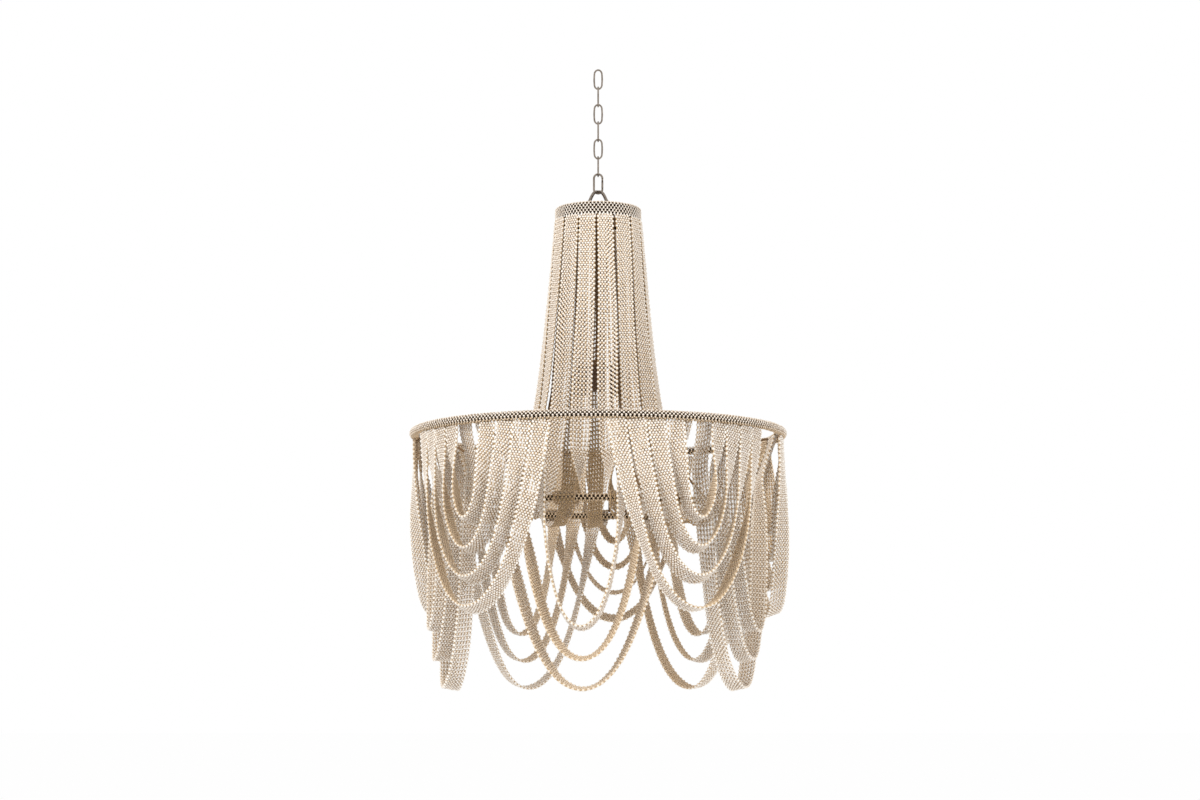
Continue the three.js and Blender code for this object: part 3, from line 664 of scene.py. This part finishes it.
def add_frame():
    foot = HOOP_TOP - HOOP_HEIGHT / 2
    add_crown(foot)
    inside, low = HOOP_RADIUS - HOOP_THICKNESS, HOOP_TOP - HOOP_HEIGHT
    hoop = turned(rounded(
        [(inside, low), (HOOP_RADIUS, low), (HOOP_RADIUS, HOOP_TOP), (inside, HOOP_TOP)], 0.6 * MM), 96)
    reach = HOOP_RADIUS - HOOP_THICKNESS / 2
    bar = box_part((-reach, -BAR_WIDTH / 2, BAR_TOP - BAR_THICKNESS), (reach, BAR_WIDTH / 2, BAR_TOP), 0.5 * MM)

    inner_ring = np.array([INNER_RING_RADIUS, INNER_RING_Z])
    back = unit(np.array(RIB_KNEE) - inner_ring)
    rib_end = inner_ring + back * (INNER_RING_TUBE / 2 / RING_FLAT + SEAT)
    rib = bezier((inside - RIB_WELD_DEPTH, foot), RIB_WAIST, RIB_KNEE, rib_end, 40)
    seam = COLUMN_SEAM + 2 * math.pi / COLUMN_STRAPS
    ribs = [spoke(rib, seam + i * SECTOR, FRAME_WIRE_RADIUS, 10) for i in range(GROUPS)]
    add_bronze(mesh_from("drum_hoop", *together(hoop, bar), BRONZE), "crown_frame")
    add_bronze(mesh_from("column_ribs", *together(*ribs), BRONZE), "crown_frame")

    head_radius = RING_RADIUS - RING_TUBE / 2 / RING_FLAT - SEAT
    base = (INNER_RING_RADIUS, INNER_RING_Z + INNER_RING_TUBE / 2 + SEAT)
    bend = bezier((head_radius, RING_Z), (head_radius - (head_radius - base[0]) * STRUT_REACH_SHARE, RING_Z),
                  (base[0], base[1] + (RING_Z - base[1]) * STRUT_DROP_SHARE), base, 24)
    for i in range(GROUPS):
        strut = spoke(bend, LOWER_ANGLE + (i + 0.5) * SECTOR, FRAME_WIRE_RADIUS, 12)
        add_bronze(mesh_from(f"bent_strut_{i + 1}", *strut, BRONZE), f"ring_strut_{i + 1}")


# Band, column and rings

def add_band():
    """The net over the drum's rim and side, on a near-black lining that stands for the shade behind the beads.
    """
    half = RING_BEAD[1] / 2
    rim, round_start, round_cut, step = 2 * MM, 2.6 * MM, 0.8 * MM, 1 * MM
    inner, corner, top = BAND_RADIUS - STRAP_THICKNESS - BAND_LIP, BAND_RADIUS - half, BAND_TOP - half
    line = np.array([(inner + rim, top), (corner - round_start, top), (corner - round_cut, top - round_cut),
                     (corner, top - round_start), (corner, BAND_TOP - BAND_HEIGHT + half)])
    run = path_run(line)
    cells = round(2 * math.pi * corner / BAND_CELL)

    def section(distance):
        return np.stack([np.interp(distance, run, line[:, k]) for k in (0, 1)], -1)

    def surface(u, v):
        angle = staggered(u, v, cells)
        distance = v / BAND_ROWS * run[-1]
        spot = section(distance)
        way = unit(section(np.minimum(distance + step, run[-1])) - section(np.maximum(distance - step, 0)))
        travel, out = place(1, angle + math.pi / 2, 0), place(1, angle, 0)
        sideways = unit(out * way[:, :1] + UP * way[:, 1:])
        return place(spot[:, 0], angle, spot[:, 1]), travel, sideways, unit(np.cross(sideways, travel))

    beads = net(surface, cells, BAND_ROWS, BAND_BEAD, ring_along=True)
    add_beaded(bead_mesh("band_beads", beads, CREAM), ["column_skirt"])
    hoop_side, hoop_rim, low = HOOP_RADIUS + SEAT, HOOP_TOP + SEAT, BAND_TOP - BAND_HEIGHT + 1 * MM
    lining = turned(rounded([(hoop_side, low), (corner - half, low), (corner - half, top - half),
                             (inner, top - half), (inner, hoop_rim), (hoop_side, hoop_rim)], 0.5 * MM), 96)
    add_beaded(mesh_from("band_shade_backing", *lining, SHADE_BACKING), ["column_skirt"])


def column_line():
    """Radii and heights of the column's straps, and how far each point is on the way down to the inner ring."""
    steps, fold_start, fold_end, fold_steps = 300, -0.9, 2.0, 40
    fold = INNER_RING_TUBE / 2 + STRAP_THICKNESS / 2 + SEAT
    round_ring = np.linspace(fold_start, fold_end, fold_steps)[:, None]
    fold_line = (INNER_RING_RADIUS, INNER_RING_Z) + fold * np.hstack([np.cos(round_ring), np.sin(round_ring)])
    top = (BAND_RADIUS - STRAP_THICKNESS / 2, BAND_TOP - BAND_HEIGHT + COLUMN_TOP_OVERLAP)
    line = np.concatenate([bezier(top, COLUMN_WAIST, COLUMN_SAG, fold_line[0], steps), fold_line[1:]])
    return line, np.minimum(np.arange(len(line)) / (steps - 1), 1)


def column_unevenness():
    """How far each strap drifts sideways and how much it turns, with the front ones set as they hang."""
    drift = rng.uniform(-5, 5, COLUMN_STRAPS) * MM
    drift[[-3, -2, -1, 0, 1, 2]] = np.array([2, 2, -2.5, -2, -9, -12]) * MM
    drift[7] = 12 * MM
    turned_by = rng.uniform(0.5, 1.1, COLUMN_STRAPS) * rng.choice([-1, 1], COLUMN_STRAPS)
    turned_by[[7, 8]] *= 0.3
    turned_by[[-1, 0]] = 2.5, -2.4
    return drift, turned_by


def add_column():
    line, fall = column_line()
    strap_length = path_run(line)[-1]
    way = unit(np.gradient(line, axis=0))
    free_share, settle_start, settle_run = 0.7, 0.85, 0.15
    settled = 1 - ease((fall - settle_start) / settle_run)
    loose = ease(fall / free_share) * settled
    drift, turned_by = column_unevenness()
    straight_strap, top_hold, bow, edge_share = 7, 11 * MM, 1.1 * MM, 0.3
    sway_left, ripple, ripple_count = 0.4, 1.5 * MM, 8
    early_turn, turn_start, turn_run = 0.3, 0.52, 0.25
    widening, waist, waist_end, waist_fade = 0.26, 0.42, 0.46, 0.1
    flare, flare_start, flare_run = 0.4, 0.09, 0.07

    def column_width(distance):
        """Wider down to the waist, and again where the strap folds round the inner ring."""
        flared = flare * ease((distance - strap_length + flare_start) / flare_run)
        return 1 + widening * ease(distance / waist) * (1 - ease((distance - waist_end) / waist_fade)) + flared

    strings = []
    for i in range(COLUMN_STRAPS):
        angle = COLUMN_SEAM + (i + 0.5) / COLUMN_STRAPS * 2 * math.pi
        side, face = place(1, angle + math.pi / 2, 0), place(-way[:, 1], angle, way[:, 0])
        sway = (drift[i] * ease(fall / free_share) * (sway_left + (1 - sway_left) * settled)
                + ripple * np.sin(ripple_count * fall + i) * loose)
        turning = early_turn + (1 - early_turn) * ease((fall - turn_start) / turn_run)
        quarter = (turned_by[i] * loose * turning)[:, None]
        points = place(line[:, 0], angle, line[:, 1]) + side * sway[:, None]
        strap = Strap(points, face * np.cos(quarter) + side * np.sin(quarter))
        widths = np.ones_like if i == straight_strap else column_width
        beads, surface, cells = strap_net(strap, top_hold, strap.length, bow, widths)
        # Column straps take only part of that painted edge highlight and edge cut of crevice shade.
        beads = (*beads[:5], beads[5] * edge_share)
        add_beaded(bead_mesh(f"column_strap_{i + 1}", beads, SHADED_COLUMN_BEADS), ["column_skirt"])
        strings.append(threads(surface, cells))
    add_beaded(mesh_from("column_threads", *together(*strings), THREAD), ["column_skirt"])


def add_ring(name, radius, tube_size, height, rows, painted_shade=0.0):
    """A near-black hoop, which stands for the shade inside the net, with a closed net round it. The last
    argument gives the least painted shade on its beads.
    """
    half = RING_BEAD[1] / 2
    reach = tube_size / 2 - half
    cells, start = round(2 * math.pi * radius / RING_CELL), math.radians(12)

    def surface(u, v):
        angle, turn = staggered(u, v, cells), (start + (v + 0.5) / rows * 2 * math.pi)[:, None]
        out, travel = place(1, angle, 0), place(1, angle + math.pi / 2, 0)
        face = out * np.cos(turn) + UP * np.sin(turn)
        sideways = -out * np.sin(turn) + UP * np.cos(turn)
        return place(radius, angle, height) + face * reach, travel, sideways, face

    beads = net(surface, cells, rows, RING_BEAD, ring_along=True, ring_across=True)
    centre = beads[0]
    around_tube = np.stack([np.hypot(centre[:, 0], centre[:, 1]) - radius, centre[:, 2] - height], -1) / reach
    # Painted shade on the beads of the ring's underside and inner side, and on all of them at least as far as
    # the last argument asks.
    shaded = np.maximum(0.85 * ease(0.1 - around_tube @ (0.35, 1.0)), painted_shade)
    add_beaded(bead_mesh(f"{name}_beads", beads, CREAM, shaded), [name])
    # The hoop's core is near-black, painted shade seen through the net.
    core = tube(place(radius, turns(180), height), reach - half, 16, UP, closed=True)
    add_beaded(mesh_from(f"{name}_core", *core, SHADE_BACKING), [name])


# Swags

def catenary(half, drop):
    """The size c of the catenary that spans a half width with a drop: drop = c (cosh(half / c) - 1)."""
    low, high = half / 40, half * 40
    halvings, overflow_limit = 60, 300
    for _ in range(halvings):
        middle = (low + high) / 2
        if middle * (math.cosh(min(half / middle, overflow_limit)) - 1) > drop:
            low = middle
        else:
            high = middle
    return (low + high) / 2


def arm_angle(level, count, radius, centre_share, step_shares):
    """Half the angle between the arms of one swag."""
    free = SECTOR * radius - 2 * count * STRAP_WIDTH
    return (free * (centre_share / 2 + sum(step_shares[:level + 1])) + STRAP_WIDTH * (level + 0.5)) / radius


def swag_strap(angle, half_angle, radii, top, bottom, twist):
    """One swag from arm to arm, on a catenary wrapped round the axis."""
    top_radius, mid_radius, low_radius = radii
    half, drop = half_angle * top_radius, top - bottom
    c = catenary(half, drop)
    reach = c * math.sinh(half / c)
    along = np.linspace(-reach, reach, SWAG_POINTS)
    depth = drop - (np.hypot(c, along) - c)
    radius = (top_radius - (top_radius - mid_radius) * ease(depth / SETTLE)
              - (mid_radius - low_radius) * ease((depth - SETTLE) / (drop - SETTLE)))
    turn = angle + c * np.arcsinh(along / c) / top_radius
    points = place(radius, turn, top - depth)
    travel = unit(np.gradient(points, axis=0))
    out = place(1, turn, 0)
    flat = unit(out - travel * (out * travel).sum(-1, keepdims=True))
    edge = np.cross(travel, flat)
    quarter = ease((depth / drop - twist[0]) / (twist[1] - twist[0]))[:, None] * twist[2] * math.pi / 2
    return Strap(points, flat * np.cos(quarter) + edge * np.sin(quarter), travel)


def hang(strap, tier, number, inside):
    """Beads one swag, a little wider at its ends, and returns its threads."""
    end_hold, bow, end_growth, growth_run = 1 * MM, 1.3 * MM, 0.1, 90 * MM

    def width(distance):
        from_end = np.minimum(distance, strap.length - distance)
        return 1 + end_growth - end_growth * ease(from_end / growth_run)

    beads, surface, cells = strap_net(strap, end_hold, strap.length - end_hold, bow, width)
    add_beaded(bead_mesh(f"{tier}_strap_{number}", beads, CREAM, 0, inside), [f"{tier}_swag_{number}"])
    return threads(surface, cells)


def add_swags():
    """Both tiers. Parts of a quarter turn and the painted shade on inner sides vary, and the front ones are
    set.
    """
    outer_parts = OUTER_TWIST[2] + rng.uniform(-0.1, 0.14, (GROUPS, OUTER_COUNT))
    lower_parts = LOWER_TWIST[2] + rng.uniform(-0.15, 0.15, (GROUPS, LOWER_COUNT))
    lower_parts[0] = 0.86, 1.14, 1.1
    # Painted shade on the inner side of each lower strap.
    lower_inner_shade = rng.uniform(0.5, 0.9, (GROUPS, LOWER_COUNT))
    lower_inner_shade[0], lower_inner_shade[1], lower_inner_shade[4], lower_inner_shade[3, 2] = (0.4, 0.7, 0.55), 0.25, 0.25, 0.1
    strings = {"outer": [], "lower": []}
    for i in range(GROUPS):
        angle = LOWER_ANGLE + (i + 0.5) * SECTOR
        for level in range(OUTER_COUNT):
            strap = swag_strap(
                angle, arm_angle(level, OUTER_COUNT, RING_RADIUS, OUTER_CENTRE, OUTER_STEPS),
                (RING_RADIUS, RING_RADIUS, RING_RADIUS - OUTER_INSETS[level]),
                RING_Z - RING_TUBE / 2 - SEAT, RING_Z - OUTER_DROP - level * SWAG_STEP,
                (*OUTER_TWIST[:2], outer_parts[i, level]))
            # The last argument is the painted shade on the strap's inner side.
            strings["outer"].append(hang(strap, "outer", f"{i + 1}_{level + 1}", rng.uniform(0.5, 0.85)))
        angle = LOWER_ANGLE + i * SECTOR
        for level in range(LOWER_COUNT):
            strap = swag_strap(
                angle, arm_angle(level, LOWER_COUNT, LOWER_TOP_RADIUS, LOWER_CENTRE, LOWER_STEPS),
                (LOWER_TOP_RADIUS, LOWER_MID_RADIUS, LOWER_MID_RADIUS - LOWER_INSETS[level]),
                LOWER_TOP, RING_Z - LOWER_DROP - level * SWAG_STEP,
                (*LOWER_TWIST[:2], lower_parts[i, level]))
            strings["lower"].append(hang(strap, "lower", f"{i + 1}_{level + 1}", lower_inner_shade[i, level]))
    for (tier, parts), count in zip(strings.items(), (OUTER_COUNT, LOWER_COUNT)):
        nodes = [f"{tier}_swag_{g + 1}_{k + 1}" for g in range(GROUPS) for k in range(count)]
        middle = len(parts) // 2
        for number, share in enumerate((parts[:middle], parts[middle:]), 1):
            add_beaded(mesh_from(f"{tier}_threads_{number}", *together(*share), THREAD), nodes)


# Lamp

def add_stem():
    stem = turned(rounded([
        (STEM_BORE, STEM_END), (STEM_RADIUS, STEM_END), (STEM_RADIUS, FLANGE_Z), (FLANGE_RADIUS, FLANGE_Z),
        (FLANGE_RADIUS, FLANGE_TOP), (STEM_RADIUS, FLANGE_TOP), (STEM_RADIUS, STEM_TOP), (STEM_BORE, STEM_TOP),
    ], 0.4 * MM), 40)
    add_bronze(mesh_from("stem", *stem, BRONZE), "stem_tube")

    high = BAR_TOP - BAR_THICKNESS - SEAT
    low = high - NUT_HEIGHT
    hexagon = turns(6) + math.pi / 6
    wide, hole = NUT_HALF_WIDTH / math.cos(math.pi / 6), STEM_RADIUS + SEAT
    narrow = wide * NUT_CHAMFER_SHARE
    rows = [(hole, low), (narrow, low), (wide, low + NUT_CHAMFER), (wide, high - NUT_CHAMFER), (narrow, high),
            (hole, high)]
    points = np.array([(size * math.cos(a), size * math.sin(a), z) for size, z in rows for a in hexagon])
    faces = skin(len(rows), len(hexagon), closed=True)
    add_bronze(mesh_from("hexagon_nut", points, faces, BRONZE, smooth=False), "stem_nut")

    low = STEM_TOP + SEAT
    gland = turned(rounded([(GLAND_BORE, low), (GLAND_RADIUS, low), (GLAND_RADIUS, low + GLAND_SHOULDER),
                            (STEM_RADIUS, low + GLAND_HEIGHT), (GLAND_BORE, low + GLAND_HEIGHT)], 0.5 * MM), 40)
    add_piece(mesh_from("gland", *gland, BROWN), "chandelier", ["cord_gland"])


def add_cluster():
    low, floor, high = CLUSTER_Z, CLUSTER_Z + POT_FLOOR, CLUSTER_Z + POT_HEIGHT
    parts = [turned(rounded([(NEAR_AXIS, low), (POT_FOOT, low), (POT_RADIUS, floor), (POT_RADIUS, high),
                             (POT_MOUTH, high), (POT_MOUTH, floor), (NEAR_AXIS, floor)], 1 * MM), 48)]
    arm = np.array([(station, CLUSTER_Z + ARM_HEIGHT) for station in ARM_STATIONS])
    cup_low, cup_high = CLUSTER_Z + CUP_LOW, CLUSTER_Z + CUP_HIGH
    cup = rounded([(NEAR_AXIS, cup_low), (CUP_RADIUS, cup_low), (CUP_RADIUS, cup_high), (NEAR_AXIS, cup_high)],
                  1.5 * MM)
    for angle in turns(HOLDER_COUNT):
        parts += [spoke(arm, angle, ARM_RADIUS, 14), turned(cup, 36, place(HOLDER_CIRCLE, angle, 0))]
    add_bronze(mesh_from("cluster", *together(*parts), BRONZE), "lamp_cluster")


def add_holder(number, angle):
    """A holder with four grip grooves outside, a screw mouth below and a brass contact in it."""
    at = place(HOLDER_CIRCLE, angle, 0)
    top = CLUSTER_Z + CUP_LOW - SEAT
    low = top - HOLDER_HEIGHT
    waist, shoulder, deep = 13.4 * MM, 12.4 * MM, 8.5 * MM
    shoulder_drop, groove_falls, thread_count, thread_start, thread_pitch = 3 * MM, (16, 19, 22, 25), 5, 3, 3.6
    profile = [(NEAR_AXIS, top), (shoulder, top), (HOLDER_RADIUS, top - shoulder_drop)]
    for fall in groove_falls:
        z = top - fall * MM
        profile += [(HOLDER_RADIUS, z + 0.9 * MM), (waist, z + 0.4 * MM),
                    (waist, z - 0.4 * MM), (HOLDER_RADIUS, z - 0.9 * MM)]
    profile += [(HOLDER_RADIUS, low + 0.6 * MM), (waist, low), (deep, low), (MOUTH_RADIUS, low + 0.5 * MM)]
    for thread in range(thread_count):
        z = low + (thread_start + thread * thread_pitch) * MM
        profile += [(MOUTH_RADIUS, z), (deep, z + 0.9 * MM), (deep, z + 1.8 * MM), (MOUTH_RADIUS, z + 2.7 * MM)]
    profile += [(MOUTH_RADIUS, low + MOUTH_DEPTH), (NEAR_AXIS, low + MOUTH_DEPTH)]
    node = [f"lamp_holder_{number}"]
    mesh = mesh_from(f"holder_{number}", *turned(profile, 40, at), BROWN)
    add_piece(mesh, "chandelier", node)
    tip, wide = 3 * MM, 4.5 * MM
    contact_low, contact_edge, contact_high = low + 25 * MM, low + 26.6 * MM, low + 27.9 * MM
    contact = rounded([(NEAR_AXIS, contact_low), (tip, contact_low), (wide, contact_edge),
                       (wide, contact_high), (NEAR_AXIS, contact_high)], 0.4 * MM)
    mesh = mesh_from(f"contact_{number}", *turned(contact, 24, at), BRASS)
    add_piece(mesh, "chandelier", node)


add_chain()
add_snap_hook()
add_frame()
add_band()
add_column()
add_ring("wide_ring", RING_RADIUS, RING_TUBE, RING_Z, WIDE_RING_ROWS)
# The inner ring's beads get painted shade all round, for the shade inside the chandelier.
add_ring("inner_ring", INNER_RING_RADIUS, INNER_RING_TUBE, INNER_RING_Z, INNER_RING_ROWS, painted_shade=0.75)
add_swags()
add_stem()
add_cluster()
for holder, holder_angle in enumerate(turns(HOLDER_COUNT), 1):
    add_holder(holder, holder_angle)


# Stage, light and camera

def seen_white(tree, rest, white):
    """Mixes in plain white for what the camera, a reflection or a clear surface looks at."""
    path = tree.nodes.new("ShaderNodeLightPath")
    share = math_node(tree, "MAXIMUM", path.outputs["Is Camera Ray"], path.outputs["Is Glossy Ray"])
    share = math_node(tree, "MAXIMUM", share, path.outputs["Is Transmission Ray"])
    return mix_shader(tree, share, rest, white)


def mix_shader(tree, share, first, second):
    mix = tree.nodes.new("ShaderNodeMixShader")
    for socket, value in zip(mix.inputs, (share, first, second)):
        tree.links.new(value, socket)
    return mix.outputs[0]


def add_world():
    world = bpy.data.worlds.new("studio")
    bpy.context.scene.world = world
    world.use_nodes = True
    tree = world.node_tree
    soft = tree.nodes["Background"]
    soft.inputs["Color"].default_value = (1.0, 0.99, 0.98, 1)
    soft.inputs["Strength"].default_value = 0.88
    white = tree.nodes.new("ShaderNodeBackground")
    white.inputs["Color"].default_value = (1, 1, 1, 1)
    white.inputs["Strength"].default_value = 1.0
    out = tree.nodes["World Output"]
    tree.links.new(seen_white(tree, soft.outputs[0], white.outputs[0]), out.inputs["Surface"])


def add_floor():
    """A pale floor that the camera sees as near white, with a trace of the shadow."""
    size, low, white_share = 30.0, -2.1, 0.965
    mesh = bpy.data.meshes.new("floor")
    mesh.from_pydata([(-size, -size, low), (size, -size, low), (size, size, low), (-size, size, low)], [],
                     [(0, 1, 2, 3)])
    floor = bpy.data.objects.new("floor", mesh)
    bpy.context.scene.collection.objects.link(floor)
    material, tree, shader = new_material("pale_floor", (0.86, 0.86, 0.86), 0.9)
    glow = tree.nodes.new("ShaderNodeEmission")
    glow.inputs["Color"].default_value = (1, 1, 1, 1)
    glow.inputs["Strength"].default_value = 1.0
    path = tree.nodes.new("ShaderNodeLightPath")
    share = math_node(tree, "MULTIPLY", path.outputs["Is Camera Ray"], white_share)
    tree.links.new(mix_shader(tree, share, shader.outputs[0], glow.outputs[0]),
                   tree.nodes["Material Output"].inputs["Surface"])
    mesh.materials.append(material)


def add_lamp_panel(name, place_at, aim, power):
    data = bpy.data.lights.new(name, "AREA")
    data.shape, data.size, data.energy = "DISK", 2.0, power
    lamp = bpy.data.objects.new(name, data)
    bpy.context.scene.collection.objects.link(lamp)
    lamp.location = place_at
    lamp.visible_glossy = False
    lamp.rotation_euler = (Vector(aim) - Vector(place_at)).to_track_quat("-Z", "Y").to_euler()


def add_camera():
    """The photo's view: from a little below the swags, tilted up."""
    data = bpy.data.cameras.new("camera")
    upward_tilt = 7.17
    data.sensor_width, data.lens, data.clip_end = 36, 66.06, 100
    camera = bpy.data.objects.new("camera", data)
    bpy.context.scene.collection.objects.link(camera)
    camera.location = (0.0038, -4.43, -1.2427)
    camera.rotation_euler = (math.radians(90 + upward_tilt), 0, 0)
    bpy.context.scene.camera = camera


add_world()
add_floor()
add_lamp_panel("key_light", (-2.2, -3.2, 1.6), (0, 0, -0.9), 112)
add_lamp_panel("fill_light", (2.7, -3.2, -0.2), (0, 0, -1.0), 44)
add_lamp_panel("back_light", (0.8, 3.6, 0.9), (0, 0, -0.7), 50)
add_camera()
bpy.context.scene.view_settings.view_transform = "Standard"
